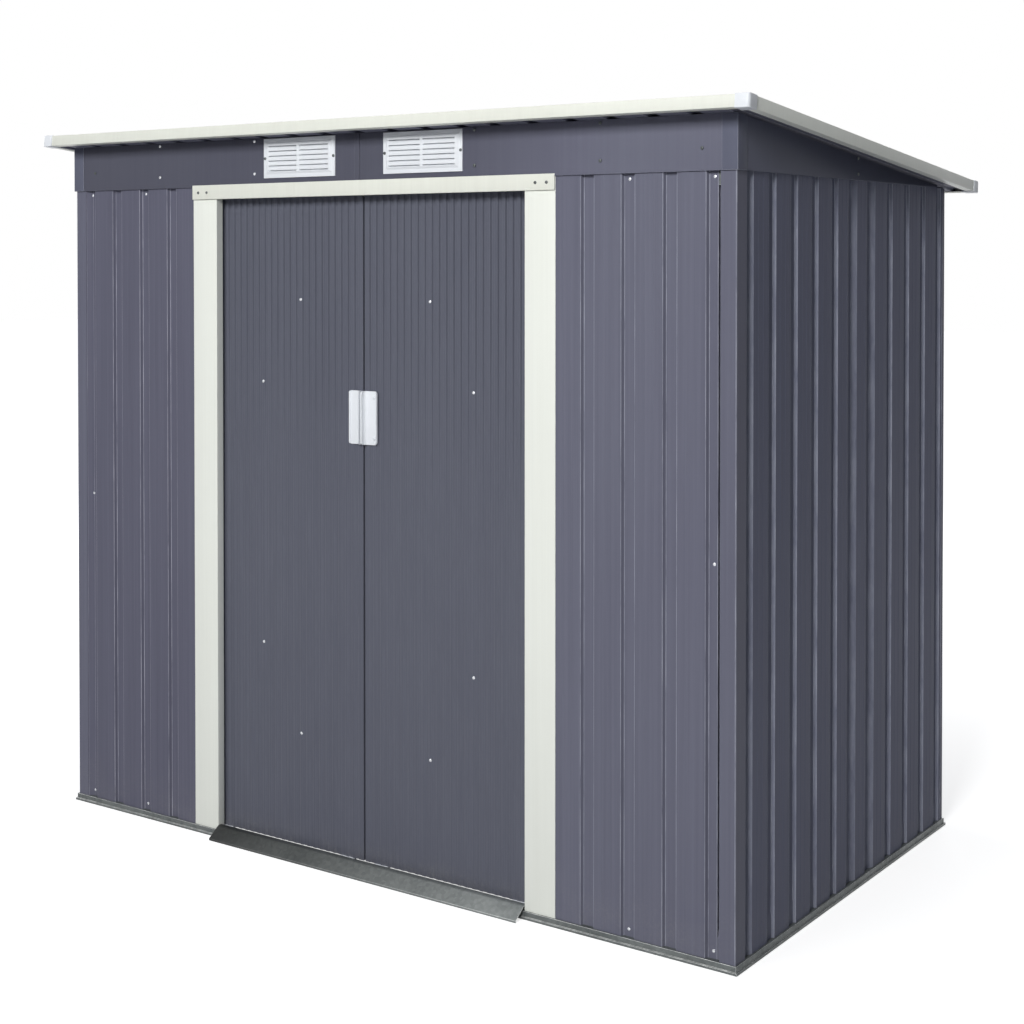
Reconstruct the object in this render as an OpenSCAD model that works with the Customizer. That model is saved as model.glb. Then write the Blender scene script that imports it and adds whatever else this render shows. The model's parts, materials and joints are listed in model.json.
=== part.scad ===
// Steel garden shed with a single slope roof and two sliding doors.
// Millimetres, +Z up. The doors face -Y, and the origin lies on the ground
// under the middle of the roof.

/* [Roof] */
// Width of the roof over its corner caps
roof_w = 2130; // [2000:1:2400]
// Depth of the roof over its corner caps
roof_d = 1300; // [1200:1:1500]
// Fall of the roof towards the back, in degrees
roof_fall = 5.8; // [5.6:0.1:8]
// Distance from the roof's front edge to the floor rail
front_overhang = 58; // [40:1:70]
// Distance from the roof's back edge to the floor rail
back_overhang = 77; // [50:1:100]
// Distance from the roof's side edges to the floor rails
side_overhang = 54; // [40:1:80]
// Height of the roof edging
trim_h = 27; // [22:1:40]
// Thickness of the roof edging
trim_t = 1.5; // [1:0.1:2.5]
// Depth of the edging's top flange
trim_top = 28; // [18:1:40]
// Depth of the edging's bottom flange
trim_bottom = 22; // [12:1:30]
// Length of each leg of a corner cap
cap_l = 34; // [30:1:60]
// Radius of a corner cap's outer corner
cap_round = 7; // [3:0.5:9]
// How far a corner cap stands proud of the edging
cap_proud = 1.5; // [0.8:0.1:3]
// Height of the ribs on the roof sheets
roof_rib_h = 8; // [4:0.5:12]
// Number of roof sheets
sheet_count = 3; // [2:1:4]
// Height of a roof beam
beam_h = 28; // [20:1:34]
// Width of a roof beam
beam_w = 25; // [15:1:40]

/* [Walls] */
// Height of the walls above the ground
wall_h = 1660; // [1500:1:1900]
// Thickness of the wall and roof sheet
sheet_t = 1; // [0.6:0.1:1.4]
// Depth of a wall groove
groove_d = 8; // [4:0.5:9]
// Width of a wall groove at the sheet's face
groove_face = 34; // [24:1:36]
// Width of a wall groove at its floor
groove_floor = 26; // [10:1:28]
// Spacing of the grooves in the front, the back and the roof
front_pitch = 103; // [70:1:140]
// Spacing of the grooves in the side walls
side_pitch = 105; // [70:1:140]
// From the door frame to the first groove beside it
front_first = 82; // [40:1:90]
// From the front face to the first groove of a side wall
side_first = 58; // [50:1:90]
// Width of a corner post on the front and the back
post_front = 36; // [25:1:44]
// Width of a corner post on the side walls
post_side = 43; // [25:1:44]
// Thickness of a corner post
post_t = 1.2; // [0.8:0.1:2]

/* [Floor rails] */
// Height of the ledge that carries the wall sheets
rail_h = 18; // [14:1:24]
// Height of the upstand behind the wall sheets
rail_top = 48; // [36:1:80]
// How far the rail's foot stands out from the wall face
rail_step = 8; // [7:0.5:12]
// Width of the rail's foot
rail_foot = 50; // [48:1:60]
// Thickness of the rail
rail_t = 1.5; // [1:0.1:2]
// Height of the foot's rolled edge
rail_hem = 6; // [4:0.5:8]
// Width of the step above the foot's rolled edge
rail_lip = 3.5; // [2.5:0.5:5]
// Diameter of an anchor hole in a side rail
anchor_d = 9; // [6:0.5:12]
// Distance between the anchor holes of a side rail
anchor_span = 760; // [400:1:900]

/* [Fascia] */
// Thickness of the fascia and gable sheet
fascia_t = 1.2; // [0.8:0.1:2]
// Gap between the wall face and the back of the fascia
fascia_gap = 3; // [2:0.5:6]
// Width of a fascia corner on the front
corner_front = 36; // [25:1:60]
// Width of a fascia corner on the side
corner_side = 40; // [25:1:60]
// Width of the raised edge where the two halves of the fascia meet
fascia_lap = 14; // [8:1:24]
// Width of the flanges folded from the fascia and the gables
fascia_fold = 16; // [14:1:20]
// How far the fascia's flange reaches past the wall sheet
flange_reach = 4; // [2:0.5:6]
// Height of a gable at its thin end
gable_least = 6; // [4:0.5:10]

/* [Vents] */
// Width of a vent
vent_w = 232; // [150:1:300]
// Distance of a vent's centre from the middle of the front
vent_x = 191; // [170:1:240]
// Gap between a vent and the top of the fascia
vent_top_gap = 3; // [2:0.5:6]
// Gap between a vent and the header under it
vent_low_gap = 12; // [4:0.5:20]
// Thickness of a vent's flange
vent_flange_t = 3; // [2:0.5:5]
// Rise of a vent's field above its flange
vent_rise = 4; // [2:0.5:8]
// Width of a vent's flange
vent_border = 9; // [6:1:14]
// Width of the bevel round a vent's field
vent_bevel = 5; // [3:0.5:6]
// Rows of slots in a vent
vent_rows = 6; // [3:1:6]
// From a vent's upper and lower edges to its first and last slots
vent_margin = 18.5; // [17:0.5:24]
// Width of a vent slot, across its slanted blades
vent_slot = 3.2; // [2:0.1:4]
// Slant of the blades between the slots, in degrees
vent_slant = 30; // [25:1:40]
// Length of a vent slot
vent_slot_l = 93; // [60:1:94]
// Width of the bar between the two columns of slots
vent_bar = 8; // [5:0.5:12]

/* [Door frame] */
// Clear width of the doorway
door_opening = 952; // [900:2:1000]
// Width of a door jamb's face
jamb_w = 82; // [60:1:100]
// Depth of a door jamb
jamb_d = 20; // [14:1:24]
// Width of the hem behind a door jamb
jamb_hem = 14; // [8:1:20]
// Thickness of the jambs and the header
jamb_t = 1.5; // [1:0.1:2]
// How far a jamb laps over the wall sheet
jamb_lap = 30; // [20:1:40]
// Gap between the jambs and the pieces that fit between them
frame_gap = 0.5; // [0.3:0.1:1]
// Height of the header's face
header_h = 36; // [30:1:44]
// How far the header laps over the fascia
header_lap = 5; // [3:0.5:8]
// How far the threshold ramp reaches in front of the wall face
ramp_reach = 36; // [24:1:60]
// Height of the threshold ramp
ramp_h = 30; // [26:1:34]
// Thickness of the threshold ramp
ramp_t = 1.5; // [1:0.1:2]
// Height of the hem along the ramp's front edge
ramp_hem = 5; // [3:0.5:8]
// Radius of the ramp's crest
ramp_round = 14; // [8:1:16]
// Slope of the ramp's face, in degrees
ramp_slope = 36; // [25:1:45]
// Distance of the crest from the wall face
ramp_crest = 2; // [0:0.5:4]

/* [Doors] */
// Width of a door
door_w = 505; // [500:1:515]
// Where the doors meet, from the middle of the front
door_meet = -14; // [-16:1:16]
// Gap between the doors where they meet
door_gap = 5; // [4:0.5:8]
// Gap between a jamb and the door behind it
door_clear = 7; // [5:0.5:9]
// Height of the door's bottom edge
door_bottom = 23; // [21:1:28]
// From a door's top edge to the top of the walls
door_top_gap = 15; // [13:0.5:17]
// Spacing of the fine ribs in a door
rib_pitch = 21; // [16:1:30]
// Depth of the fine ribs in a door
rib_d = 5; // [3:0.5:6]
// Width of a door rib's valley at the sheet's face
rib_face = 13; // [10:0.5:15]
// Width of a door rib's valley at its floor
rib_floor = 8; // [5:0.5:9]
// Depth of the folded edges of a door
door_edge = 18; // [14:1:24]
// Gap between a door's folded edges and the upper track
door_edge_gap = 5; // [4:0.5:8]
// Height of a door's top and bottom channels
door_rail_h = 26; // [18:1:40]
// From a door's lower edge to its bottom channel
channel_low = 4; // [2:0.5:8]
// From the upper track to a door's top channel
channel_high = 10; // [6:0.5:16]
// Width of the crossed braces behind a door
brace_w = 24; // [15:1:40]
// Thickness of the crossed braces
brace_t = 1.5; // [1:0.1:3]
// From the meeting edge to the near ends of the braces
brace_near = 192; // [120:1:220]
// From the meeting edge to the far ends of the braces
brace_far = 325; // [280:1:400]
// Height of the upper brace ends above the door's middle
brace_rise = 538; // [350:1:640]
// Height of the braces' far ends above the door's middle
brace_far_rise = 329; // [200:1:400]

/* [Handles] */
// Width of a handle
handle_w = 41; // [30:1:50]
// Height of a handle
handle_h = 129; // [90:1:180]
// Height of the handles' lower end
handle_z = 1031; // [800:1:1200]
// How far a handle's grip stands out from the door
handle_reach = 18; // [14:1:26]
// Thickness of a handle's plate
handle_t = 3; // [2:0.5:4]
// Thickness of a handle's grip and rim
handle_grip = 4.5; // [3:0.5:6]
// Height of the rim along a handle's outer edge
handle_rim = 6; // [4:0.5:9]
// Radius of the cove between a handle's plate and its grip
handle_cove = 10; // [5:0.5:10.5]
// Radius of a handle's outer corners
handle_corner = 8; // [4:1:12]

/* [Tracks] */
// Gap between a door and each lip of the upper track
track_clear = 5; // [4:0.5:6]
// Depth of the upper track's channel
track_d = 20; // [16:1:26]
// Thickness of the tracks
track_t = 1.5; // [1:0.1:2]
// How far the lower track's foot reaches past a runner
track_lip = 1; // [0.5:0.5:2]
// Height of the lower track's fin
fin_top = 15; // [12:1:18]
// Length of a runner
runner_l = 40; // [25:1:60]
// Width of a runner
runner_w = 12; // [10:0.5:14]
// From a door's side edges to its runners
runner_in = 30; // [20:1:60]
// How far a runner reaches down over the fin
shoe_grip = 8; // [5:0.5:8]
// Gap between a door's upper guides and the top of the channel
guide_clear = 3; // [2:0.5:5]
// Side clearance of the fin in a runner
fin_clear = 1.2; // [0.8:0.1:2]

/* [Fits] */
// Gap between pieces that seat on each other
seat = 0.3; // [0.2:0.05:0.5]
// Gap between the wall sheets and the rails and track behind them
back_gap = 1; // [0.5:0.1:1.5]

/* [Hidden] */

slate = [0.30, 0.31, 0.36];
cream = [0.87, 0.87, 0.81];
plastic = [0.88, 0.90, 0.93];
zinc = [0.62, 0.64, 0.65];

// Planes of the walls
wall_front = -roof_d / 2 + front_overhang + rail_step;
wall_back = roof_d / 2 - back_overhang - rail_step;
wall_side = roof_w / 2 - side_overhang - rail_step;
wall_d = wall_back - wall_front;
wall_deep = groove_d + sheet_t;
rail_x = wall_side + rail_step;
rail_front = wall_front - rail_step;
rail_back = wall_back + rail_step;

// Roof frame: its origin is the lower front edge, Y runs down the slope
cap_h = trim_h + 2 * cap_proud;
cap_floor = cap_proud + trim_t;
slope_l = (roof_d - cap_h * sin(roof_fall)) / cos(roof_fall);
roof_z0 = wall_h + seat + (wall_back + roof_d / 2) * tan(roof_fall) - cap_floor / cos(roof_fall);
sheet_inset = cap_proud + trim_t + seat;

// Height at depth y of a plane parallel to the roof, n above its origin
function roof_z(y, n) = roof_z0 - (y + roof_d / 2) * tan(roof_fall) + n / cos(roof_fall);

// Header and fascia planes
header_top = wall_h + header_lap;
header_bottom = header_top - header_h;
fascia_in = wall_front - fascia_gap;
fascia_out = fascia_in - fascia_t;
fascia_top = roof_z(fascia_in, cap_floor) - seat;
gable_in = wall_side + fascia_gap;
gable_out = gable_in + fascia_t;
flange_back = wall_front + wall_deep + flange_reach;
gable_top = roof_z0 + cap_floor / cos(roof_fall) - seat;
gable_end = -roof_d / 2 + (gable_top - wall_h - gable_least) / tan(roof_fall);
vent_z = header_top + vent_low_gap;
vent_h = fascia_top - vent_top_gap - vent_z;
vent_pitch = (vent_h - 2 * vent_margin) / (vent_rows - 1);
vent_deep = vent_flange_t + vent_rise;

// Door frame and door planes
opening_x = door_opening / 2;
jamb_out = opening_x + jamb_w;
sheet_in = jamb_out - jamb_lap;
header_front = fascia_out - jamb_t;
door_front = wall_front + jamb_d + door_clear;
door_back = door_front + rib_d + sheet_t;
door_mid = (door_front + door_back) / 2;
track_in = wall_front + wall_deep + back_gap;
track_bottom = wall_h - track_d;
door_top = wall_h - door_top_gap;
door_centre = (door_bottom + door_top) / 2;
door_near = door_meet + door_gap / 2;
door_far = door_near + door_w;

// How far a cutting solid runs past the piece it cuts
past = 1;

// Two dimensional sheet sections

// A folded strip: each leg runs between two points along an axis
module folded(points, t) {
    for (i = [0:len(points) - 2]) {
        a = points[i];
        b = points[i + 1];
        low = [min(a.x, b.x), min(a.y, b.y)];
        high = [max(a.x, b.x), max(a.y, b.y)];
        translate(low) square(high - low + [t, t]);
    }
}

function groove(c, face, flat, deep) =
    [[c - face / 2, 0], [c - flat / 2, deep], [c + flat / 2, deep], [c + face / 2, 0]];

// A rolled sheet from x0 to x1 with a groove at each centre
module rolled(x0, x1, centres, face, flat, deep) {
    outer = concat([[x0, 0]], [for (c = centres) each groove(c, face, flat, deep)], [[x1, 0]]);
    inner = [for (i = [len(outer) - 1:-1:0]) outer[i] + [0, sheet_t]];
    polygon(concat(outer, inner));
}

module wall_section(x0, x1, centres) {
    rolled(x0, x1, centres, groove_face, groove_floor, groove_d);
}

// As many grooves as fit from the first to the last place, and their centres
function row(first, last, pitch) = [for (i = [0:floor((last - first) / pitch)]) first + i * pitch];
function centred_row(half, pitch) =
    let (n = floor(half / pitch)) [for (i = [-n:n]) i * pitch];

// Extrusions along X and Y of a section drawn upright
module along_x(x0, x1) {
    translate([x0, 0, 0]) rotate([90, 0, 90]) linear_extrude(x1 - x0) children();
}

module along_y(y0, y1) {
    translate([0, y1, 0]) rotate([90, 0, 0]) linear_extrude(y1 - y0) children();
}

module on_roof() {
    translate([0, -roof_d / 2, roof_z0]) rotate([-roof_fall, 0, 0]) children();
}

module flipped_x() {
    mirror([1, 0, 0]) children();
}

// Floor rails

// Section of a rail: the wall face is at 0 and the inside is positive
module rail_section() {
    lip = rail_step - rail_lip;
    folded([
        [rail_foot - rail_step - rail_t, 0],
        [-rail_step, 0],
        [-rail_step, rail_hem - rail_t],
        [-lip, rail_hem - rail_t],
        [-lip, rail_h - rail_t],
        [wall_deep + back_gap, rail_h - rail_t],
        [wall_deep + back_gap, rail_top - rail_t]
    ], rail_t);
}

// Plan of a rail that is mitred at both ends, with its outer edge along X
module mitred(half, deep) {
    linear_extrude(rail_top) polygon([[-half, 0], [half, 0], [half - deep, deep], [-half + deep, deep]]);
}

module front_floor_rail() {
    color(zinc) difference() {
        intersection() {
            translate([0, wall_front, 0]) along_x(-rail_x, rail_x) rail_section();
            translate([0, rail_front, 0]) mitred(rail_x, rail_foot);
        }
        translate([-sheet_in, rail_front, rail_h]) cube([2 * sheet_in, rail_foot, rail_top]);
    }
}

module back_floor_rail() {
    color(zinc) intersection() {
        translate([0, wall_back, 0]) mirror([0, 1, 0]) along_x(-rail_x, rail_x) rail_section();
        translate([0, rail_back, 0]) mirror([0, 1, 0]) mitred(rail_x, rail_foot);
    }
}

module right_floor_rail() {
    middle = (rail_front + rail_back) / 2;
    half = (rail_back - rail_front) / 2;
    color(zinc) difference() {
        intersection() {
            translate([wall_side, 0, 0]) flipped_x() along_y(rail_front, rail_back) rail_section();
            translate([rail_x, middle, 0]) rotate([0, 0, 90]) mitred(half, rail_foot);
        }
        for (y = [-anchor_span / 2, anchor_span / 2])
            translate([rail_x - rail_foot + anchor_d, middle + y, -past])
                cylinder(h = rail_t + 2 * past, d = anchor_d, $fn = 48);
    }
}

module left_floor_rail() {
    flipped_x() right_floor_rail();
}

// Threshold and tracks

// The ramp's sheet as a line, inset by i from its outer face: a hem, a slope and a rounded crest
function ramp_line(i) = concat(
    [[-ramp_reach + i, 0], [-ramp_reach + i, ramp_hem]],
    [for (k = [0:8]) let (turn = 90 + ramp_slope * (1 - k / 8))
        [ramp_crest + (ramp_round - i) * cos(turn), ramp_h - ramp_round + (ramp_round - i) * sin(turn)]],
    [[wall_deep - i, ramp_h - i], [wall_deep - i, rail_h]]
);

module threshold_ramp() {
    outer = ramp_line(0);
    inner = ramp_line(ramp_t);
    reach = opening_x - frame_gap;
    color(zinc) translate([0, wall_front, 0]) along_x(-reach, reach)
        polygon(concat(outer, [for (i = [len(inner) - 1:-1:0]) inner[i]]));
}

module lower_door_track() {
    reach = rail_x - rail_foot;
    color(zinc) along_x(-reach, reach) {
        translate([door_mid - runner_w / 2 - track_lip, rail_t])
            square([runner_w + 2 * track_lip, track_t]);
        translate([door_mid - track_t / 2, rail_t]) square([track_t, fin_top - rail_t]);
    }
}

module upper_door_track() {
    reach = wall_side - wall_deep - seat;
    front_lip = door_front - track_clear - track_t;
    back_lip = door_back + track_clear;
    web_bottom = header_bottom + jamb_t;
    color(zinc) along_x(-reach, reach) {
        translate([track_in, web_bottom]) square([track_t, wall_h - web_bottom]);
        translate([track_in, wall_h - track_t]) square([back_lip + track_t - track_in, track_t]);
        for (y = [front_lip, back_lip])
            translate([y, track_bottom]) square([track_t, track_d]);
    }
}

// Walls

module front_right_wall() {
    last = wall_side - post_front - groove_face / 2;
    end = wall_side - wall_deep - seat;
    color(slate) translate([0, wall_front, rail_h]) linear_extrude(wall_h - rail_h)
        wall_section(sheet_in, end, row(jamb_out + front_first, last, front_pitch));
}

module front_left_wall() {
    flipped_x() front_right_wall();
}

module right_wall() {
    last = wall_d - post_side - groove_face / 2;
    color(slate) translate([wall_side, wall_front, rail_h]) rotate([0, 0, 90])
        linear_extrude(wall_h - rail_h) wall_section(0, wall_d, row(side_first, last, side_pitch));
}

module left_wall() {
    flipped_x() right_wall();
}

module back_wall() {
    reach = wall_side - wall_deep - seat;
    half = wall_side - post_front - groove_face / 2;
    color(slate) translate([0, wall_back, rail_h]) mirror([0, 1, 0]) linear_extrude(wall_h - rail_h)
        wall_section(-reach, reach, centred_row(half, front_pitch));
}

// A corner post wraps the outside of two wall sheets
module front_right_post() {
    color(slate) translate([0, 0, rail_h]) linear_extrude(wall_h - rail_h) folded([
        [wall_side - post_front, wall_front - post_t],
        [wall_side, wall_front - post_t],
        [wall_side, wall_front - post_t + post_side]
    ], post_t);
}

module front_left_post() {
    flipped_x() front_right_post();
}

module back_right_post() {
    translate([0, wall_front + wall_back, 0]) mirror([0, 1, 0]) front_right_post();
}

module back_left_post() {
    flipped_x() back_right_post();
}

// Door frame

// A jamb's face runs up to the wall's top, and its return stops under the upper track
module right_jamb() {
    color(cream) translate([0, 0, rail_h]) {
        linear_extrude(wall_h - rail_h) folded([
            [jamb_out - jamb_t, wall_front - jamb_t],
            [opening_x, wall_front - jamb_t]
        ], jamb_t);
        linear_extrude(header_bottom - rail_h) folded([
            [opening_x, wall_front - jamb_t],
            [opening_x, wall_front + jamb_d - jamb_t],
            [opening_x + jamb_hem, wall_front + jamb_d - jamb_t]
        ], jamb_t);
    }
}

module left_jamb() {
    flipped_x() right_jamb();
}

module door_header() {
    reach = opening_x - frame_gap;
    color(cream) {
        along_x(-jamb_out, jamb_out) translate([header_front, header_bottom]) square([jamb_t, header_h]);
        along_x(-reach, reach) translate([header_front, header_bottom])
            square([wall_front + wall_deep - header_front, jamb_t]);
    }
}

// Fascia and gables

// One half of the front fascia, with the hole behind its vent
module fascia_half() {
    hole_w = vent_w - 2 * vent_border;
    hole_h = vent_h - 2 * vent_border;
    difference() {
        union() {
            translate([seat / 2, fascia_out, wall_h])
                cube([gable_in - seat * 1.5, fascia_t, fascia_top - wall_h]);
            translate([seat / 2, fascia_out, wall_h])
                cube([gable_in - seat * 1.5, flange_back - fascia_out, fascia_t]);
        }
        translate([vent_x - hole_w / 2, fascia_out - past, vent_z + vent_border])
            cube([hole_w, fascia_t + 2 * past, hole_h]);
    }
}

module front_right_fascia() {
    color(slate) fascia_half();
}

// The left half has a raised edge where the halves meet
module front_left_fascia() {
    color(slate) union() {
        flipped_x() fascia_half();
        translate([-fascia_lap - seat / 2, fascia_out - fascia_t, wall_h + header_lap + seat])
            cube([fascia_lap, fascia_t, fascia_top - wall_h - header_lap - seat]);
    }
}

// Covers of the two front corners, cut off under the roof sheet
module fascia_corner() {
    difference() {
        translate([0, 0, wall_h]) linear_extrude(fascia_top - wall_h + trim_h) folded([
            [gable_out - corner_front, fascia_out - fascia_t],
            [gable_out, fascia_out - fascia_t],
            [gable_out, fascia_out - fascia_t + corner_side]
        ], fascia_t);
        on_roof() translate([0, 0, cap_floor - seat]) cube([roof_w, slope_l / 2, 2 * trim_h]);
    }
}

module fascia_corners() {
    color(slate) {
        fascia_corner();
        flipped_x() fascia_corner();
    }
}

// A gable closes the wedge over a side wall, with a flange under the roof
module right_gable() {
    front = flange_back + seat;
    slope_front = (front + roof_d / 2) / cos(roof_fall);
    slope_back = (gable_end + roof_d / 2) / cos(roof_fall);
    mid = cap_floor - fascia_t / 2;
    color(slate) union() {
        along_x(gable_in, gable_out) polygon([
            [fascia_out, wall_h],
            [gable_end, wall_h],
            [gable_end, roof_z(gable_end, mid)],
            [front, roof_z(front, mid)],
            [fascia_out, roof_z(front, mid)]
        ]);
        translate([gable_out - fascia_fold, front, wall_h])
            cube([fascia_fold, gable_end - front, fascia_t]);
        on_roof() translate([gable_out - fascia_fold, slope_front, cap_floor - fascia_t])
            cube([fascia_fold, slope_back - slope_front, fascia_t]);
    }
}

module left_gable() {
    flipped_x() right_gable();
}

// Vents

// Outline of a vent's field with its bevel, across a width
module vent_profile(w) {
    low = w / 2 - vent_border;
    high = low - vent_bevel;
    polygon([
        [-low, 0], [low, 0], [low, -vent_flange_t],
        [high, -vent_deep], [-high, -vent_deep], [-low, -vent_flange_t]
    ]);
}

// Slanted slots, higher on the inside, in two columns
module vent_slots() {
    across = (vent_bar + vent_slot_l) / 2;
    middle = (vent_rows - 1) / 2;
    for (side = [-1, 1])
        for (i = [0:vent_rows - 1])
            translate([side * across, -vent_deep / 2, (i - middle) * vent_pitch])
                rotate([vent_slant, 0, 0]) cube([vent_slot_l, 3 * vent_deep, vent_slot], center = true);
}

module right_vent() {
    color(plastic) translate([vent_x, fascia_out, vent_z + vent_h / 2]) difference() {
        union() {
            translate([-vent_w / 2, -vent_flange_t, -vent_h / 2]) cube([vent_w, vent_flange_t, vent_h]);
            intersection() {
                translate([0, 0, -vent_h / 2]) linear_extrude(vent_h) vent_profile(vent_w);
                along_x(-vent_w / 2, vent_w / 2) rotate(90) mirror([0, 1]) vent_profile(vent_h);
            }
        }
        vent_slots();
    }
}

module left_vent() {
    flipped_x() right_vent();
}

// Roof

module roof_sheets() {
    full = roof_w - 2 * sheet_inset;
    one = full / sheet_count;
    color(slate) on_roof() for (i = [0:sheet_count - 1])
        translate([-full / 2 + (i + 0.5) * one, 0, cap_floor]) along_y(sheet_inset, slope_l - sheet_inset)
            rolled(-one / 2 + seat / 2, one / 2 - seat / 2,
                centred_row(one / 2 - groove_face, front_pitch), groove_face, groove_floor, roof_rib_h);
}

// Two channels across the building, under the gables' top flanges
module roof_beams() {
    top = cap_floor - fascia_t;
    reach = gable_in - seat;
    color(zinc) on_roof() for (third = [1, 2])
        translate([0, slope_l * third / 3, 0]) along_x(-reach, reach) folded([
            [beam_w - trim_t, top - beam_h],
            [0, top - beam_h],
            [0, top - trim_t],
            [beam_w - trim_t, top - trim_t]
        ], trim_t);
}

// Section of the edging: the outer edge is at 0
module trim_section() {
    folded([
        [cap_proud + trim_bottom - trim_t, cap_proud],
        [cap_proud, cap_proud],
        [cap_proud, cap_proud + trim_h - trim_t],
        [cap_proud + trim_top - trim_t, cap_proud + trim_h - trim_t]
    ], trim_t);
}

module front_roof_trim() {
    reach = roof_w / 2 - cap_l - seat;
    color(cream) on_roof() along_x(-reach, reach) trim_section();
}

module back_roof_trim() {
    reach = roof_w / 2 - cap_l - seat;
    color(cream) on_roof() translate([0, slope_l, 0]) mirror([0, 1, 0])
        along_x(-reach, reach) trim_section();
}

module left_roof_trim() {
    color(cream) on_roof() translate([-roof_w / 2, 0, 0])
        along_y(cap_l + seat, slope_l - cap_l - seat) trim_section();
}

module right_roof_trim() {
    flipped_x() left_roof_trim();
}

// A cap has a rounded corner and is open towards the roof sheet
module corner_cap() {
    wall = cap_proud + trim_t;
    difference() {
        linear_extrude(cap_h) {
            translate([cap_round, cap_round]) circle(r = cap_round, $fn = 48);
            translate([cap_round, 0]) square([cap_l - cap_round, cap_l]);
            translate([0, cap_round]) square([cap_l, cap_l - cap_round]);
        }
        translate([wall, wall, cap_floor]) cube([cap_l, cap_l, cap_h - 2 * cap_floor]);
    }
}

module roof_corner_caps() {
    color(plastic) on_roof() for (side = [0, 1]) mirror([side, 0, 0]) {
        translate([-roof_w / 2, 0, 0]) corner_cap();
        translate([-roof_w / 2, slope_l, 0]) mirror([0, 1, 0]) corner_cap();
    }
}

// Doors: the right one is drawn, the left one mirrors it about the meeting line

module as_left_door() {
    translate([2 * door_meet, 0, 0]) mirror([1, 0, 0]) children();
}

module right_door_panel() {
    valleys = row(door_near + rib_pitch, door_far - rib_pitch, rib_pitch);
    edge_h = track_bottom - door_edge_gap - door_bottom;
    color(slate) union() {
        translate([0, door_front, door_bottom]) linear_extrude(door_top - door_bottom)
            rolled(door_near, door_far, valleys, rib_face, rib_floor, rib_d);
        for (x = [door_near, door_far - sheet_t])
            translate([x, door_front, door_bottom]) cube([sheet_t, door_edge, edge_h]);
    }
}

// Channels across the top and the bottom of the door's inner face
module right_door_channels() {
    x0 = door_near + sheet_t + seat;
    x1 = door_far - sheet_t - seat;
    deep = door_edge - rib_d - sheet_t;
    color(zinc) for (z = [door_bottom + channel_low, track_bottom - channel_high - door_rail_h])
        along_x(x0, x1) translate([door_back, z]) folded([
            [deep - track_t, 0],
            [0, 0],
            [0, door_rail_h - track_t],
            [deep - track_t, door_rail_h - track_t]
        ], track_t);
}

// A flat bar between two points of the door's plane
module bar(a, b) {
    run = b - a;
    translate(a) rotate(atan2(run.y, run.x)) translate([-brace_w / 2, -brace_w / 2])
        square([norm(run) + brace_w, brace_w]);
}

module right_door_braces() {
    color(zinc) translate([door_near, door_back + brace_t, door_centre]) rotate([90, 0, 0])
        linear_extrude(brace_t) {
            bar([brace_near, brace_rise], [brace_far, -brace_far_rise]);
            bar([brace_near, -brace_rise], [brace_far, brace_far_rise]);
        }
}

// Plan of a handle: a plate on the door, a grip at the meeting edge with a cove, and a low rim
module handle_section() {
    square_in = handle_grip + handle_cove;
    deep_in = handle_t + handle_cove;
    translate([0, -handle_t]) square([handle_w, handle_t]);
    rounded_leg(0, handle_reach);
    rounded_leg(handle_w - handle_grip, handle_rim);
    difference() {
        translate([0, -deep_in]) square([square_in, deep_in]);
        translate([square_in, -deep_in]) circle(r = handle_cove, $fn = 48);
    }
}

// A leg that stands out from the door by reach, with a round tip
module rounded_leg(x, reach) {
    r = handle_grip / 2;
    translate([x, -reach + r]) square([handle_grip, reach - r]);
    translate([x + r, -reach + r]) circle(r = r, $fn = 32);
}

module right_door_handle() {
    r = handle_corner;
    color(plastic) translate([door_near, door_front, handle_z]) difference() {
        linear_extrude(handle_h) handle_section();
        for (end = [0, 1]) translate([0, 0, end * handle_h]) mirror([0, 0, end]) {
            translate([handle_w, past, 0]) rotate([90, 0, 0])
                linear_extrude(handle_reach + 2 * past) outer_corner(r);
            translate([handle_w + past, -handle_reach, 0]) rotate([90, 0, -90])
                linear_extrude(handle_w + 2 * past) outer_corner(r);
        }
    }
}

// What is cut off a square corner at the origin to round it
module outer_corner(r) {
    difference() {
        translate([-r, -past]) square([r + past, r + past]);
        translate([-r, r]) circle(r = r, $fn = 48);
    }
}

// Two shoes over the lower fin and two guides in the upper channel
module right_door_runners() {
    slot = track_t + 2 * fin_clear;
    shoe_bottom = fin_top - shoe_grip;
    guide_h = wall_h - track_t - guide_clear - door_top;
    color(plastic) for (x = [door_near + runner_in, door_far - runner_in - runner_l]) {
        along_x(x, x + runner_l) difference() {
            translate([door_mid - runner_w / 2, shoe_bottom])
                square([runner_w, door_bottom - shoe_bottom]);
            translate([door_mid - slot / 2, shoe_bottom - past])
                square([slot, shoe_grip + seat + past]);
        }
        translate([x, door_mid - runner_w / 2, door_top]) cube([runner_l, runner_w, guide_h]);
    }
}

module left_door_panel() {
    as_left_door() right_door_panel();
}

module left_door_channels() {
    as_left_door() right_door_channels();
}

module left_door_braces() {
    as_left_door() right_door_braces();
}

module left_door_handle() {
    as_left_door() right_door_handle();
}

module left_door_runners() {
    as_left_door() right_door_runners();
}

front_floor_rail();
back_floor_rail();
left_floor_rail();
right_floor_rail();
threshold_ramp();
lower_door_track();
upper_door_track();
front_left_wall();
front_right_wall();
left_wall();
right_wall();
back_wall();
front_left_post();
front_right_post();
back_left_post();
back_right_post();
left_jamb();
right_jamb();
door_header();
front_left_fascia();
front_right_fascia();
fascia_corners();
left_gable();
right_gable();
left_vent();
right_vent();
roof_sheets();
roof_beams();
front_roof_trim();
back_roof_trim();
left_roof_trim();
right_roof_trim();
roof_corner_caps();
left_door_panel();
left_door_channels();
left_door_braces();
left_door_handle();
left_door_runners();
right_door_panel();
right_door_channels();
right_door_braces();
right_door_handle();
right_door_runners();
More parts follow.
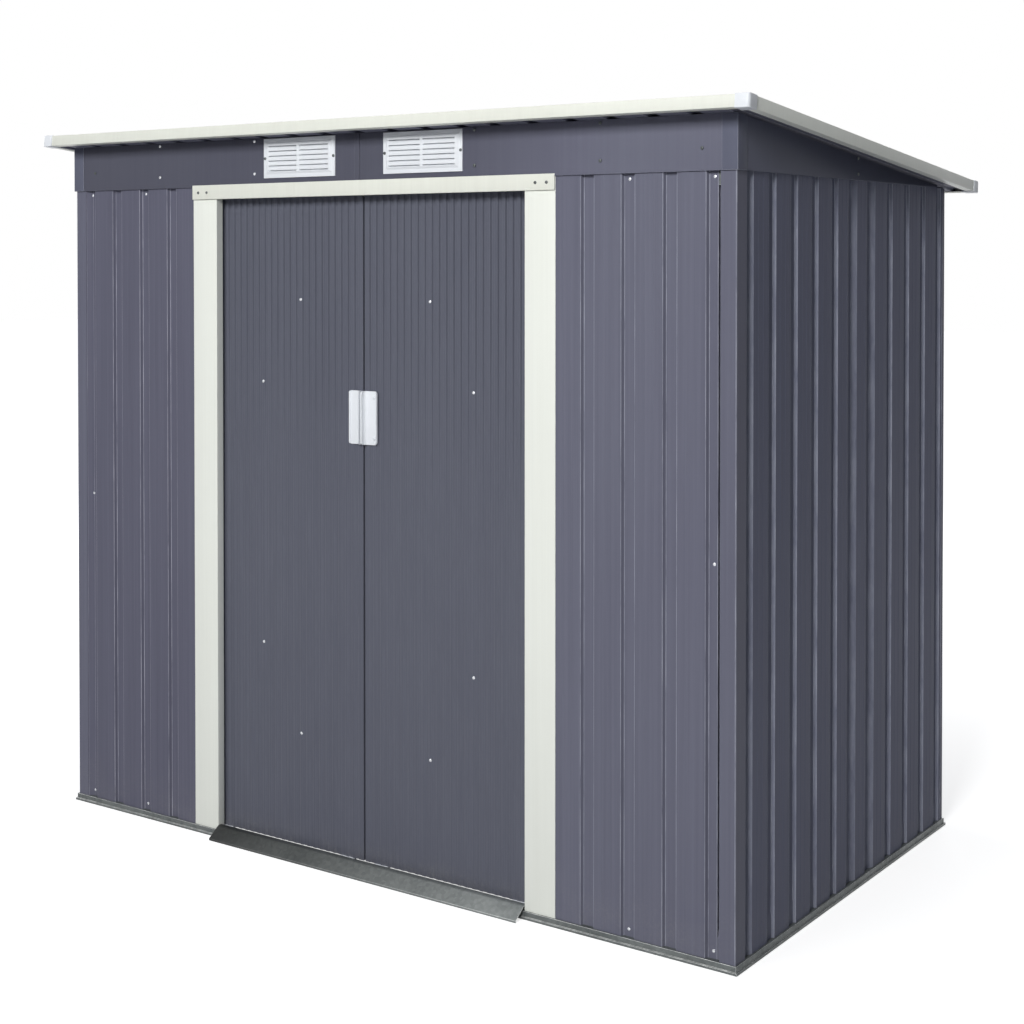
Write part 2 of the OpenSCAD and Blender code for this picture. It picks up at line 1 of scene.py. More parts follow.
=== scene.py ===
"""Looks of a steel garden shed: rolled sheet walls, sliding ribbed doors and a single slope roof."""
import json
import math

import bmesh
import bpy
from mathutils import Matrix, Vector, noise

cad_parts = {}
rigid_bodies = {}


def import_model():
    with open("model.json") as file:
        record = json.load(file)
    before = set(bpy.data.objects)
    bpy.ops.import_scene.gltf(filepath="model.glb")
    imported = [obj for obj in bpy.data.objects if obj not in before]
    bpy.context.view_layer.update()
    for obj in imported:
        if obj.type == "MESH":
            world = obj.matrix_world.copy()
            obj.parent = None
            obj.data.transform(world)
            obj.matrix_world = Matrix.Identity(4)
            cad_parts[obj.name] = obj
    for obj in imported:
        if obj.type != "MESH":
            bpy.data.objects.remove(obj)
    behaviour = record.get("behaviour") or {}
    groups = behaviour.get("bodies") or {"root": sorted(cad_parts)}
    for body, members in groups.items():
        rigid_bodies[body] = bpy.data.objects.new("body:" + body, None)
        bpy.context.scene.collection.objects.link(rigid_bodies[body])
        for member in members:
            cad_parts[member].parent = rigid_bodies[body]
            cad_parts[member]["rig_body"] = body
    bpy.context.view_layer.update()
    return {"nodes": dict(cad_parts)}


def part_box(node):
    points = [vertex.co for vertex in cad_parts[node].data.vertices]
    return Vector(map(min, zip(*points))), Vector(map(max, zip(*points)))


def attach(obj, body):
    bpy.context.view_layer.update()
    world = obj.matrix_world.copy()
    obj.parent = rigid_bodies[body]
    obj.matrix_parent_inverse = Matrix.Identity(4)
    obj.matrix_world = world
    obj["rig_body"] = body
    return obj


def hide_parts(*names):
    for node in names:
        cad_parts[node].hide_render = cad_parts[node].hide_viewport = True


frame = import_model()
MM = 0.001

# Places that the sheets share, taken from the solids
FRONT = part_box("right_wall")[0].y
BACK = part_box("right_wall")[1].y
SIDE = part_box("right_wall")[1].x
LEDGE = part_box("right_wall")[0].z
WALL_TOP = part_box("right_wall")[1].z

# The sheets' thickness, and how far their slack waves them
SHEET = 1.0 * MM
WALL_SLACK, DOOR_SLACK, ROOF_SLACK = 0.35 * MM, 0.25 * MM, 0.3 * MM


# Cross sections

# Turns under STRAIGHT aren't rounded, and a bend takes at most LEG_SHARE of each leg
STRAIGHT = 0.02
LEG_SHARE = 0.48
MITRE_LIMIT = 0.3


def bent(corners, radius, steps=4):
    """A line through the corners with each bend rounded to the radius."""
    line = [Vector(corners[0])]
    for before, at, after in zip(corners, corners[1:], corners[2:]):
        at = Vector(at)
        back, on = Vector(before) - at, Vector(after) - at
        turn = math.pi - back.angle(on)
        if turn < STRAIGHT:
            line.append(at)
            continue
        reach = min(radius * math.tan(turn / 2), LEG_SHARE * back.length, LEG_SHARE * on.length)
        r = reach / math.tan(turn / 2)
        start, end = at + back.normalized() * reach, at + on.normalized() * reach
        middle = at + (back.normalized() + on.normalized()).normalized() * math.hypot(r, reach)
        for k in range(steps + 1):
            p = start.lerp(end, k / steps) - middle
            line.append(middle + p.normalized() * r)
    line.append(Vector(corners[-1]))
    return line


def finely(line, longest):
    """The line with its long legs cut into lengths of at most longest."""
    out = [line[0]]
    for a, b in zip(line, line[1:]):
        n = max(1, math.ceil((b - a).length / longest))
        out += [a.lerp(b, k / n) for k in range(1, n + 1)]
    return out


def inside_of(line, thick):
    """The line moved to its left by the sheet's thickness."""
    out = []
    for i, p in enumerate(line):
        sides = []
        for a, b in ((i - 1, i), (i, i + 1)):
            if a >= 0 and b < len(line):
                d = (line[b] - line[a]).normalized()
                sides.append(Vector((-d.y, d.x)))
        n = (sides[0] + sides[-1]).normalized()
        out.append(p + n * (thick / max(MITRE_LIMIT, n.dot(sides[0]))))
    return out


def spaced(low, high, count):
    """Even steps from low to high."""
    return [low + (high - low) * i / count for i in range(count + 1)]


# Meshes

# A section's step is a bend when it is short, a flank when steep, a groove's floor when deep
BEND_STEP = 1.2 * MM
STEEP = 0.3
HOLLOW = 4 * MM
# Edges of the solids that are sharper than this are rounded
FOLD_ANGLE = 0.5


def finished(name, bm, paint, body, stands_for=(), sharp=32):
    """Turns a bmesh into a smooth shaded piece that rides on its body."""
    bmesh.ops.recalc_face_normals(bm, faces=bm.faces)
    mesh = bpy.data.meshes.new(name)
    bm.to_mesh(mesh)
    bm.free()
    mesh.shade_smooth()
    mesh.set_sharp_from_angle(angle=math.radians(sharp))
    piece = bpy.data.objects.new(name, mesh)
    bpy.context.scene.collection.objects.link(piece)
    mesh.materials.append(paint)
    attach(piece, body)
    if stands_for:
        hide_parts(*stands_for)
    return piece


def add_sheet(bm, line, thick, stations, place, flank=0.0, hollow=0.0):
    """Adds a bent sheet: the section runs over the stations, and place puts each point in the frame.

    Bends count fully as worn and painted highlight, except pencil ridges; flanks and floors by the shares, as
    painted light.
    """
    ring = line + inside_of(line, thick)[::-1]
    n = len(line)
    wear_sheen_share = bm.faces.layers.float.get("wear_sheen_share") or bm.faces.layers.float.new("wear_sheen_share")
    rows = [[bm.verts.new(place(p.x, p.y, s)) for p in ring] for s in stations]
    for a, b in zip(rows, rows[1:]):
        for i in range(len(ring)):
            j = (i + 1) % len(ring)
            face = bm.faces.new((a[i], a[j], b[j], b[i]))
            across, step = (ring[j].y + ring[i].y) / 2, ring[j] - ring[i]
            # Bends: worn paint with a painted highlight; steep flanks: painted highlight; deep floors: painted
            # light in their shade
            if step.length < BEND_STEP:
                face[wear_sheen_share] = float(not -BEND_STEP < across < 0)
            elif abs(step.y) > STEEP * step.length:
                face[wear_sheen_share] = flank
            else:
                face[wear_sheen_share] = hollow if across > HOLLOW else 0.0
    for row in (rows[0], rows[-1]):
        for i in range(n - 1):
            bm.faces.new((row[i], row[i + 1], row[2 * n - 2 - i], row[2 * n - 1 - i]))


def softened(name, node, width, paint, sharp=40):
    """A solid's own shape with its edges rounded, as a moulding or a folded plate has them."""
    bm = bmesh.new()
    bm.from_mesh(frame["nodes"][node].data)
    bmesh.ops.remove_doubles(bm, verts=bm.verts, dist=0.02 * MM)
    bmesh.ops.dissolve_limit(bm, angle_limit=0.01, verts=bm.verts, edges=bm.edges)
    edges = [e for e in bm.edges if len(e.link_faces) == 2 and e.calc_face_angle(0) > FOLD_ANGLE]
    wear_sheen_share = bm.faces.layers.float.new("wear_sheen_share")
    rounded = bmesh.ops.bevel(bm, geom=edges, offset=width, segments=2, profile=0.6, affect="EDGES",
                              clamp_overlap=True)["faces"]
    for face in bm.faces:
        face[wear_sheen_share] = 0.0
    # Rounded faces are painted paler: worn edges with a painted highlight along them
    for face in rounded:
        face[wear_sheen_share] = 1.0
    body = frame["nodes"][node]["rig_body"]
    return finished(name, bm, paint, body, (node,), sharp)


def ripple(u, z, seed, size):
    """Slack of a thin sheet: slow waves of a given size."""
    slow = noise.noise(Vector((u * 3.1 + seed, z * 1.3, seed * 0.7)))
    long = noise.noise(Vector((u * 9.0 - seed, z * 0.8, seed)))
    return size * (slow + 0.5 * long)


# Shader groups

def group(name, inputs, outputs):
    """A new shader group with its input and output nodes."""
    tree = bpy.data.node_groups.new(name, "ShaderNodeTree")
    for label, kind, value in inputs:
        socket = tree.interface.new_socket(label, in_out="INPUT", socket_type=kind)
        socket.default_value = value
    for label, kind in outputs:
        tree.interface.new_socket(label, in_out="OUTPUT", socket_type=kind)
    return tree, tree.nodes.new("NodeGroupInput"), tree.nodes.new("NodeGroupOutput")


def made(tree, kind, inputs=(), **settings):
    """A node with its settings and its inputs: a value, or another node's socket."""
    node = tree.nodes.new("ShaderNode" + kind)
    for key, value in settings.items():
        setattr(node, key, value)
    for key, value in dict(inputs).items():
        if isinstance(value, bpy.types.NodeSocket):
            tree.links.new(value, node.inputs[key])
        else:
            node.inputs[key].default_value = value
    return node


def numbers(**values):
    """Number inputs of a group, with their defaults."""
    return [(label, "NodeSocketFloat", value) for label, value in values.items()]


def colours(*labels):
    """Colour inputs of a group, grey until they are set."""
    return [(label, "NodeSocketColor", (0.5, 0.5, 0.5, 1)) for label in labels]


def placed(tree, source, **values):
    """The outputs of a group put into a tree."""
    return made(tree, "Group", values, node_tree=source).outputs


def ranged(tree, value, low, high, to_low=0.0, to_high=1.0):
    node = made(tree, "MapRange", {"Value": value, "From Min": low, "From Max": high,
                                   "To Min": to_low, "To Max": to_high}, clamp=True)
    return node.outputs["Result"]


def sums(tree, operation, a, b):
    return made(tree, "Math", {0: a, 1: b}, operation=operation).outputs[0]


def mixed(tree, share, a, b, how="MIX"):
    node = made(tree, "Mix", {0: share, 6: a, 7: b}, data_type="RGBA", blend_type=how)
    return node.outputs[2]


def stretched_noise(tree, stretch, scale, detail=3.0, rough=0.55):
    place = made(tree, "TexCoord")
    grid = made(tree, "Mapping", {"Vector": place.outputs["Object"], "Scale": stretch})
    return made(tree, "TexNoise", {"Vector": grid.outputs["Vector"], "Scale": scale,
                                   "Detail": detail, "Roughness": rough}).outputs["Fac"]


def roller_marks():
    """Upright streaks that the rolling leaves in coil coated sheet, and slow drifts of tone."""
    tree, take, give = group("roller_marks", numbers(Width=1.0),
                             [("Streaks", "NodeSocketFloat"), ("Drift", "NodeSocketFloat")])
    fine = stretched_noise(tree, (150, 150, 1.4), 1.0, 4.0, 0.6)
    broad = stretched_noise(tree, (38, 38, 0.5), 1.0, 2.0)
    both = sums(tree, "ADD", sums(tree, "MULTIPLY", fine, 0.6), sums(tree, "MULTIPLY", broad, 0.4))
    wide = sums(tree, "MULTIPLY", take.outputs["Width"], 0.22)
    low, high = sums(tree, "SUBTRACT", 0.5, wide), sums(tree, "ADD", 0.5, wide)
    tree.links.new(ranged(tree, both, low, high), give.inputs["Streaks"])
    drift = stretched_noise(tree, (2.3, 2.3, 0.9), 1.0, 2.0)
    tree.links.new(ranged(tree, drift, 0.34, 0.66), give.inputs["Drift"])
    return tree


def foot_dust():
    """Dust and splashes that thin out with the height over the ground."""
    tree, take, give = group("foot_dust", numbers(Height=0.3), [("Dust", "NodeSocketFloat")])
    place = made(tree, "TexCoord")
    up = made(tree, "SeparateXYZ", {"Vector": place.outputs["Object"]}).outputs["Z"]
    share = sums(tree, "DIVIDE", up, take.outputs["Height"])
    fade = ranged(tree, share, 0.0, 1.0, 1.0, 0.0)
    specks = ranged(tree, stretched_noise(tree, (1, 1, 1), 190.0, 4.0, 0.7), 0.47, 0.72)
    cloud = ranged(tree, stretched_noise(tree, (1, 1, 1.6), 9.0, 4.0, 0.6), 0.3, 0.7)
    low = sums(tree, "MULTIPLY", sums(tree, "MULTIPLY", fade, fade), cloud)
    grains = sums(tree, "ADD", sums(tree, "MULTIPLY", specks, 0.75), 0.25)
    tree.links.new(sums(tree, "MULTIPLY", low, grains), give.inputs["Dust"])
    return tree


def worn_and_sheen_edges():
    """Paler bends, rims, flanks and groove floors by the share in the mesh attribute: worn finish, painted
    highlights, and painted light in shaded floors.
    """
    tree, take, give = group("worn_and_sheen_edges", numbers(Reach=0.5), [("WearAndSheen", "NodeSocketFloat")])
    edge = made(tree, "Attribute", attribute_name="wear_sheen_share").outputs["Fac"]
    low = sums(tree, "SUBTRACT", 0.6, sums(tree, "MULTIPLY", take.outputs["Reach"], 0.4))
    patches = ranged(tree, stretched_noise(tree, (1, 1, 0.2), 42.0, 5.0, 0.7), low, 0.66)
    tree.links.new(sums(tree, "MULTIPLY", edge, patches), give.inputs["WearAndSheen"])
    return tree


def skin():
    """Fine skin of a paint film or a moulding, as a height."""
    tree, take, give = group("skin", numbers(Grain=600.0), [("Height", "NodeSocketFloat")])
    place = made(tree, "TexCoord")
    peel = made(tree, "TexNoise", {"Vector": place.outputs["Object"], "Scale": take.outputs["Grain"],
                                   "Detail": 2.0}).outputs["Fac"]
    tree.links.new(peel, give.inputs["Height"])
    return tree


def cross_shade():
    """A painted shade: a share that climbs to one from left to right."""
    tree, take, give = group("cross_shade", numbers(Share=0.5, Left=0.0, Right=1.0),
                             [("Shade", "NodeSocketFloat")])
    place = made(tree, "TexCoord")
    along = made(tree, "SeparateXYZ", {"Vector": place.outputs["Object"]}).outputs["X"]
    shade = ranged(tree, along, take.outputs["Left"], take.outputs["Right"], take.outputs["Share"], 1.0)
    tree.links.new(shade, give.inputs["Shade"])
    return tree


FINISH = [("Color", "NodeSocketColor"), ("Roughness", "NodeSocketFloat"), ("Relief", "NodeSocketFloat")]
MARKS, DUST, WEAR_AND_SHEEN, SKIN, SHADE = roller_marks(), foot_dust(), worn_and_sheen_edges(), skin(), cross_shade()


def rolled_paint():
    """Paint on rolled sheet: streaks, drifts of tone, worn bends with a painted highlight, dust at the foot and
    a painted shade.
    """
    tree, take, give = group("rolled_paint", colours("Deep", "Pale", "Dark", "Light", "Rubbed")
                             + numbers(Edge=0.5, Reach=0.6, Foot=0.2, Dust=0.3, Rough=0.4, Shade=1.0), FINISH)
    get = take.outputs
    marks = placed(tree, MARKS, Width=1.0)
    tone = mixed(tree, marks["Drift"], get["Deep"], get["Pale"])
    rolled = mixed(tree, 0.5, tone, mixed(tree, marks["Streaks"], get["Dark"], get["Light"]))
    wear_and_sheen = placed(tree, WEAR_AND_SHEEN, Reach=get["Reach"])["WearAndSheen"]
    # Bends paler by the share: worn paint and a painted highlight
    bends = mixed(tree, sums(tree, "MULTIPLY", wear_and_sheen, get["Edge"]), rolled, get["Rubbed"])
    dust = sums(tree, "MULTIPLY", placed(tree, DUST, Height=get["Foot"])["Dust"], get["Dust"])
    dusty = mixed(tree, dust, bends, (0.36, 0.35, 0.32, 1))
    shaded = made(tree, "VectorMath", {0: dusty, "Scale": get["Shade"]}, operation="SCALE").outputs["Vector"]
    tree.links.new(shaded, give.inputs["Color"])
    uneven = ranged(tree, marks["Streaks"], 0.0, 1.0, -0.05, 0.06)
    rough = sums(tree, "ADD", get["Rough"], sums(tree, "ADD", uneven, sums(tree, "MULTIPLY", dust, 0.3)))
    tree.links.new(rough, give.inputs["Roughness"])
    film = placed(tree, SKIN, Grain=700.0)["Height"]
    relief = sums(tree, "ADD", sums(tree, "MULTIPLY", film, 0.25), marks["Streaks"])
    tree.links.new(relief, give.inputs["Relief"])
    return tree


def dipped_zinc():
    """Hot dipped zinc: crystals of differing tone, edges worn bright with a painted highlight, dust, and a
    painted shade.
    """
    tree, take, give = group("dipped_zinc", colours("Dull", "Bright")
                             + numbers(Dust=0.3, Rough=0.4, Shade=1.0), FINISH)
    get = take.outputs
    place = made(tree, "TexCoord")
    crystal = made(tree, "TexVoronoi", {"Vector": place.outputs["Object"], "Scale": 130.0, "Randomness": 1.0})
    tone = made(tree, "SeparateColor", {"Color": crystal.outputs["Color"]}).outputs["Red"]
    clouds = ranged(tree, stretched_noise(tree, (1, 1, 1), 7.0, 4.0, 0.6), 0.32, 0.68)
    share = sums(tree, "ADD", sums(tree, "MULTIPLY", tone, 0.45), sums(tree, "MULTIPLY", clouds, 0.55))
    wear_and_sheen = placed(tree, WEAR_AND_SHEEN, Reach=1.0)["WearAndSheen"]
    # Edges near white by the share: worn zinc and a painted highlight
    rub_and_sheen = mixed(tree, sums(tree, "MULTIPLY", wear_and_sheen, 0.9), mixed(tree, share, get["Dull"], get["Bright"]),
                   (0.85, 0.86, 0.85, 1))
    dust = sums(tree, "MULTIPLY", placed(tree, DUST, Height=0.07)["Dust"], get["Dust"])
    dusty = mixed(tree, dust, rub_and_sheen, (0.30, 0.29, 0.26, 1))
    shaded = made(tree, "VectorMath", {0: dusty, "Scale": get["Shade"]}, operation="SCALE").outputs["Vector"]
    tree.links.new(shaded, give.inputs["Color"])
    uneven = ranged(tree, share, 0.0, 1.0, 0.08, -0.08)
    tree.links.new(sums(tree, "ADD", get["Rough"], uneven), give.inputs["Roughness"])
    tree.links.new(share, give.inputs["Relief"])
    return tree


PAINT, DIPPED = rolled_paint(), dipped_zinc()


# Materials

def surface(name):
    """A new material, its tree and its shader."""
    material = bpy.data.materials.new(name)
    material.use_nodes = True
    tree = material.node_tree
    shader = tree.nodes["Principled BSDF"]
    return material, tree, shader


def raised(tree, shader, height, strength, depth):
    """Gives the shader a fine relief."""
    bump = made(tree, "Bump", {"Height": height, "Strength": strength, "Distance": depth})
    tree.links.new(bump.outputs["Normal"], shader.inputs["Normal"])


def coated(tree, shader, finish, strength, depth):
    """Joins a finish group's outputs to the shader."""
    tree.links.new(finish["Color"], shader.inputs["Base Color"])
    tree.links.new(finish["Roughness"], shader.inputs["Roughness"])
    raised(tree, shader, finish["Relief"], strength, depth)


def dimmed(tree, dim):
    """The painted shade over a piece; dim is the share of its tone at the left, and where the shade starts and
    ends.
    """
    if not dim:
        return 1.0
    share, left, right = dim
    return placed(tree, SHADE, Share=share, Left=left, Right=right)["Shade"]


def coil_paint(name, deep, pale, rub_and_sheen, rough, gloss, streak, foot, dust, edge=0.5, reach=0.6, dim=None):
    """Paint on rolled sheet, with streaks darker and lighter than its two tones."""
    material, tree, shader = surface(name)
    dark = tuple(c * (1 - streak) for c in deep[:3]) + (1,)
    light = tuple(c * (1 + streak) for c in pale[:3]) + (1,)
    finish = placed(tree, PAINT, Deep=deep, Pale=pale, Dark=dark, Light=light, Rubbed=rub_and_sheen, Edge=edge,
                    Reach=reach, Foot=foot, Dust=dust, Rough=rough, Shade=dimmed(tree, dim))
    coated(tree, shader, finish, 0.12, 0.4 * MM)
    shader.inputs["Specular IOR Level"].default_value = gloss
    return material


def zinc_coat(name, dull, bright, rough, metal, dust, dim=None):
    """Hot dipped zinc with crystals of two tones."""
    material, tree, shader = surface(name)
    finish = placed(tree, DIPPED, Dull=dull, Bright=bright, Dust=dust, Rough=rough, Shade=dimmed(tree, dim))
    coated(tree, shader, finish, 0.08, 0.5 * MM)
    shader.inputs["Metallic"].default_value = metal
    shader.inputs["Specular IOR Level"].default_value = 0.25
    return material


def moulded(name, colour, shade, rough):
    """Moulded plastic with a fine grain, slow clouds of tone and rims worn lighter with a painted highlight."""
    material, tree, shader = surface(name)
    clouds = ranged(tree, stretched_noise(tree, (1, 1, 1), 14.0, 4.0), 0.3, 0.7)
    tone = mixed(tree, sums(tree, "MULTIPLY", clouds, 0.35), colour, shade)
    wear_and_sheen = placed(tree, WEAR_AND_SHEEN, Reach=0.5)["WearAndSheen"]
    # Rims lighter by the share: worn plastic and a painted highlight
    rub_and_sheen = mixed(tree, sums(tree, "MULTIPLY", wear_and_sheen, 0.4), tone, (0.93, 0.94, 0.96, 1))
    tree.links.new(rub_and_sheen, shader.inputs["Base Color"])
    tree.links.new(ranged(tree, clouds, 0.0, 1.0, rough - 0.06, rough + 0.08), shader.inputs["Roughness"])
    raised(tree, shader, placed(tree, SKIN, Grain=900.0)["Height"], 0.10, 0.3 * MM)
    shader.inputs["Specular IOR Level"].default_value = 0.4
    return material


def turned_steel(name):
    """Plated screw heads with a spotted tone."""
    material, tree, shader = surface(name)
    spots = ranged(tree, stretched_noise(tree, (1, 1, 1), 320.0, 3.0), 0.3, 0.7)
    tone = mixed(tree, spots, (0.52, 0.53, 0.55, 1), (0.86, 0.87, 0.89, 1))
    tree.links.new(tone, shader.inputs["Base Color"])
    tree.links.new(ranged(tree, spots, 0.0, 1.0, 0.22, 0.38), shader.inputs["Roughness"])
    raised(tree, shader, spots, 0.1, 0.2 * MM)
    shader.inputs["Metallic"].default_value = 0.85
    return material


# Slate: its bends are painted paler, partly worn paint and partly a painted highlight along each bend
SLATE = coil_paint(
    "slate_paint", (0.138, 0.139, 0.188, 1), (0.156, 0.160, 0.208, 1), (0.38, 0.39, 0.46, 1),
    rough=0.44, gloss=0.07, streak=0.16, foot=0.22, dust=0.35, edge=0.85, reach=0.8)
# A darker copy of the slate for the left front wall: painted shade, with paler bends as painted highlights
LEFT_SHADED_SLATE = coil_paint(
    "left_shaded_slate_paint", (0.117, 0.117, 0.162, 1), (0.133, 0.134, 0.180, 1), (0.42, 0.42, 0.49, 1),
    rough=0.44, gloss=0.07, streak=0.16, foot=0.22, dust=0.35, edge=0.9, reach=0.9)
# A bluer copy of the slate for the side walls: the blue paints the cool light on the shaded sides; its pale
# bends and groove flanks are painted highlights
SIDE_SHADED_SLATE = coil_paint(
    "side_shaded_slate_paint", (0.132, 0.139, 0.200, 1), (0.148, 0.156, 0.218, 1), (0.46, 0.48, 0.56, 1),
    rough=0.44, gloss=0.05, streak=0.16, foot=0.22, dust=0.35, edge=0.9, reach=1.0)
# A darker copy of the slate for the gables and the fascia's corner covers: painted shade under the roof's
# overhang, with pale edges as painted highlights
SHADED = coil_paint(
    "gable_shaded_paint", (0.122, 0.128, 0.176, 1), (0.138, 0.146, 0.196, 1), (0.46, 0.47, 0.54, 1),
    rough=0.40, gloss=0.05, streak=0.03, foot=0.22, dust=0.0, edge=0.95, reach=1.0)
# The fascia's slate is darker towards its left, a painted shade, and its edges are painted paler as highlights
FASCIA = coil_paint(
    "fascia_shaded_paint", (0.140, 0.141, 0.190, 1), (0.158, 0.162, 0.210, 1), (0.36, 0.37, 0.44, 1),
    rough=0.40, gloss=0.07, streak=0.03, foot=0.22, dust=0.0, edge=0.95, reach=0.6, dim=(0.64, 0.22, 0.62))
# A darker, more neutral copy of the slate for the doors: the darker tone is painted shade of the recessed
# doorway
DOOR_SLATE = coil_paint(
    "door_shaded_slate_paint", (0.106, 0.111, 0.143, 1), (0.119, 0.125, 0.158, 1), (0.22, 0.23, 0.27, 1),
    rough=0.46, gloss=0.12, streak=0.06, foot=0.10, dust=0.75, edge=0.14)
CREAM = coil_paint(
    "cream_paint", (0.78, 0.79, 0.71, 1), (0.82, 0.835, 0.755, 1), (0.88, 0.89, 0.83, 1),
    rough=0.40, gloss=0.35, streak=0.03, foot=0.10, dust=0.12)
# A paler, less yellow copy of the cream for the jambs and side roof trims: painted light on the parts that
# catch more of it
LIT_CREAM = coil_paint(
    "lit_cream_paint", (0.855, 0.87, 0.80, 1), (0.895, 0.915, 0.85, 1), (0.92, 0.93, 0.88, 1),
    rough=0.40, gloss=0.45, streak=0.03, foot=0.10, dust=0.04)
WHITE = moulded("white_plastic", (0.84, 0.865, 0.90, 1), (0.77, 0.80, 0.84, 1), rough=0.38)
ZINC = zinc_coat(
    "galvanised", (0.085, 0.095, 0.096, 1), (0.17, 0.185, 0.184, 1), rough=0.44, metal=0.4, dust=0.3)
# Ramp zinc, darker towards the left: a painted shade
DULL_ZINC = zinc_coat(
    "ramp_zinc_shaded", (0.17, 0.185, 0.185, 1), (0.30, 0.32, 0.315, 1), rough=0.40, metal=0.4, dust=0.1,
    dim=(0.07, -0.55, 0.42))
STEEL = turned_steel("screw_steel")


# Walls

# Grooves: widths at the face and the floor, depths, what the deepest ones are wider by and the share of
# that which draws out their far flank
GROOVE = 34.0 * MM
FLOOR = 27.0 * MM
FRONT_FLOOR = 26.0 * MM
SHALLOW = 7.0 * MM
LAPPED = 8.0 * MM
DEEPEST = 10.0 * MM
WIDENED = 14.0 * MM
FAR_SHARE = 0.7
BEND = 1.8 * MM
LONGEST_LEG = 14.0 * MM
PITCH, SIDE_PITCH = 0.103, 0.105
FRONT_FIRST, SIDE_FIRST = 0.640, 0.058
# Pencil ridges: room beside them, and their places in a flat
RIDGE_ROOM = 4.0 * MM
RIDGE_SHARES = (0.34, 0.66)
# Where the front sheets end at the corner posts
TAIL = 50.0 * MM
POCKET = 20.0 * MM
BEHIND_POST = 12.0 * MM
UNDER_POST = 0.2 * MM


def groove(c, deep, floor=FLOOR, face=GROOVE, far=0.0, near=0.0):
    """A groove's corners.

    far draws its far flank out over more of the floor, near widens it at the other side.
    """
    return [(c - near - face / 2, 0), (c - near - floor / 2, deep),
            (c + floor / 2 - far, deep), (c + face / 2, 0)]


def pencil(c, height=0.7 * MM, half=1.6 * MM):
    """A faint upright ridge that stiffens a flat."""
    return [(c - half, 0), (c, -height), (c + half, 0)]


def wall_line(low, high, centres, depths, pitch, floor=FLOOR):
    """A sheet's section: grooves with two pencil ridges in each flat that has room for them.

    The deepest grooves are also wider than the others.
    """
    corners = [(low, 0)]
    for c, deep in zip(centres, depths):
        wide = WIDENED if deep > LAPPED else 0.0
        for share in reversed(RIDGE_SHARES):
            at = c - GROOVE / 2 - share * (pitch - GROOVE)
            if corners[-1][0] + RIDGE_ROOM < at < c - wide - GROOVE / 2 - RIDGE_ROOM:
                corners += pencil(at)
        corners += groove(c, deep, floor, far=FAR_SHARE * wide, near=wide)
    for share in RIDGE_SHARES:
        at = centres[-1] + GROOVE / 2 + share * (pitch - GROOVE)
        if at < high - RIDGE_ROOM:
            corners += pencil(at)
    corners.append((high, 0))
    return finely(bent(corners, BEND), LONGEST_LEG)


# Below FOOT the sheets make room for the floor rail's upstand
FOOT = LEDGE + 45 * MM
FOOT_PRESS = 0.75
FOOT_POCKET = 0.05
HEIGHTS = [LEDGE, FOOT] + spaced(LEDGE, WALL_TOP, 28)[1:]


def front_wall(name, node, sign, seed):
    """The sheet beside the doorway.

    At the right its last groove ends in a pocket folded back beside the corner post, which closes at the
    floor rail. At the left the groove runs out under the post.
    """
    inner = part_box("front_right_wall")[0].x
    centres = [FRONT_FIRST + i * PITCH for i in range(4)]
    post_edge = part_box("front_right_post")[0].x
    line = wall_line(inner, centres[3] - TAIL, centres[:3], [LAPPED] * 3, PITCH, FRONT_FLOOR)
    last = centres[3]
    tail = [(line[-1].x, 0), (last - GROOVE / 2, 0), (last - FRONT_FLOOR / 2, LAPPED)]
    if sign > 0:
        tail += [(post_edge - 9 * MM, LAPPED), (post_edge - 13 * MM, POCKET), (SIDE - BEHIND_POST, POCKET)]
    else:
        tail += [(post_edge - 19 * MM, LAPPED), (post_edge - 1.5 * MM, UNDER_POST),
                 (SIDE - BEHIND_POST, UNDER_POST)]
    line = line + finely(bent(tail, BEND), LONGEST_LEG)[1:]

    def place(u, v, z):
        slack = ripple(u, z, seed, WALL_SLACK)
        floor = LAPPED + SHEET
        if z < FOOT + MM and v > floor:
            v = floor + FOOT_POCKET * (v - floor)
        return Vector((sign * u, FRONT + v + slack, z))

    bm = bmesh.new()
    add_sheet(bm, line, SHEET, HEIGHTS, place)
    # The left sheet takes the darker slate copy, a painted shade
    return finished(name, bm, SLATE if sign > 0 else LEFT_SHADED_SLATE, "building", (node,))


def side_wall(name, node, sign, seed):
    """A side's sheet; its grooves are pressed less deep at the foot, in front of the rail."""
    centres = [SIDE_FIRST + i * SIDE_PITCH for i in range(11)]
    depths = [DEEPEST if i in (0, 5, 6) else LAPPED if i in (4, 7) else SHALLOW for i in range(11)]
    line = wall_line(0, BACK - FRONT, centres, depths, SIDE_PITCH)

    def place(u, v, z):
        slack = ripple(u, z, seed, WALL_SLACK)
        press = FOOT_PRESS if z < FOOT + MM else 1.0
        return Vector((sign * (SIDE - press * v - slack), FRONT + u, z))

    bm = bmesh.new()
    # Groove flanks get a painted highlight, deep groove floors painted light in their shade
    add_sheet(bm, line, SHEET, HEIGHTS, place, flank=0.5, hollow=0.13)
    return finished(name, bm, SIDE_SHADED_SLATE, "building", (node,))


def back_wall():
    """The back's sheet, with shallow grooves all along."""
    low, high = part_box("back_wall")[0].x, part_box("back_wall")[1].x
    centres = [i * PITCH for i in range(-9, 10)]
    line = wall_line(low, high, centres, [SHALLOW] * len(centres), PITCH)

    def place(u, v, z):
        return Vector((u, BACK - v - ripple(u, z, 5.3, WALL_SLACK), z))

    bm = bmesh.new()
    add_sheet(bm, line, SHEET, HEIGHTS, place)
    return finished("back_wall_sheet", bm, SLATE, "building", ("back_wall",))


front_wall("front_right_wall_sheet", "front_right_wall", 1, 1.7)
front_wall("front_left_wall_sheet", "front_left_wall", -1, 8.2)
side_wall("right_wall_sheet", "right_wall", 1, 3.1)
side_wall("left_wall_sheet", "left_wall", -1, 6.4)
back_wall()


# Corner posts

